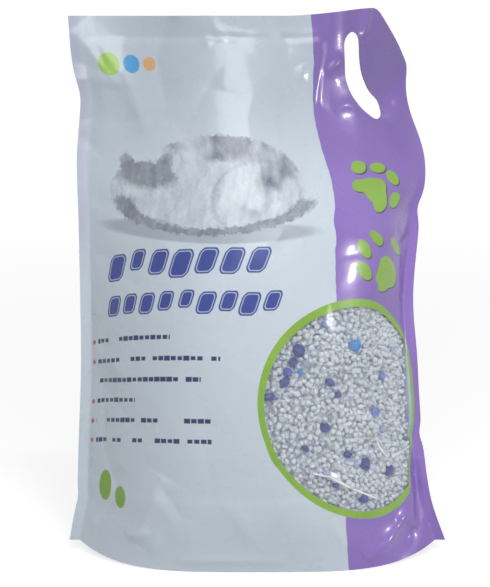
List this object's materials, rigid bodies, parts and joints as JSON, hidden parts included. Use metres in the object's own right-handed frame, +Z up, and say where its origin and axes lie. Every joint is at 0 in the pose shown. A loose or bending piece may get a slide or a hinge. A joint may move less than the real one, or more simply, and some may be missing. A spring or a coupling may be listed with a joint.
{
  "type": "cat litter bag",
  "caption": "Filled stand-up film pouch of crystal cat litter, with a folded base, a sealed top and a curved hand slot in one upper corner; an oval window shows the crystals.",
  "frame": {"origin": "centre of the flat base, where the pouch stands", "axes": "+Z up to the sealed top, -Y out of the printed front with the window, +X towards the side with the hand slot"},
  "size_m": [0.289, 0.1304, 0.4103],
  "materials": {
    "printed_film": "gloss laminate film, white with a purple side strip, a green ring and a clear oval window",
    "back_film": "gloss laminate film, white with a purple side strip",
    "base_film": "gloss white laminate film",
    "silica_crystals": "broken translucent white silica grains, a few of them blue"
  },
  "bodies": {
    "root": {"front_wall": "printed_film", "back_wall": "back_film", "bottom_web": "base_film", "litter": "silica_crystals"}
  },
  "joints": []
}
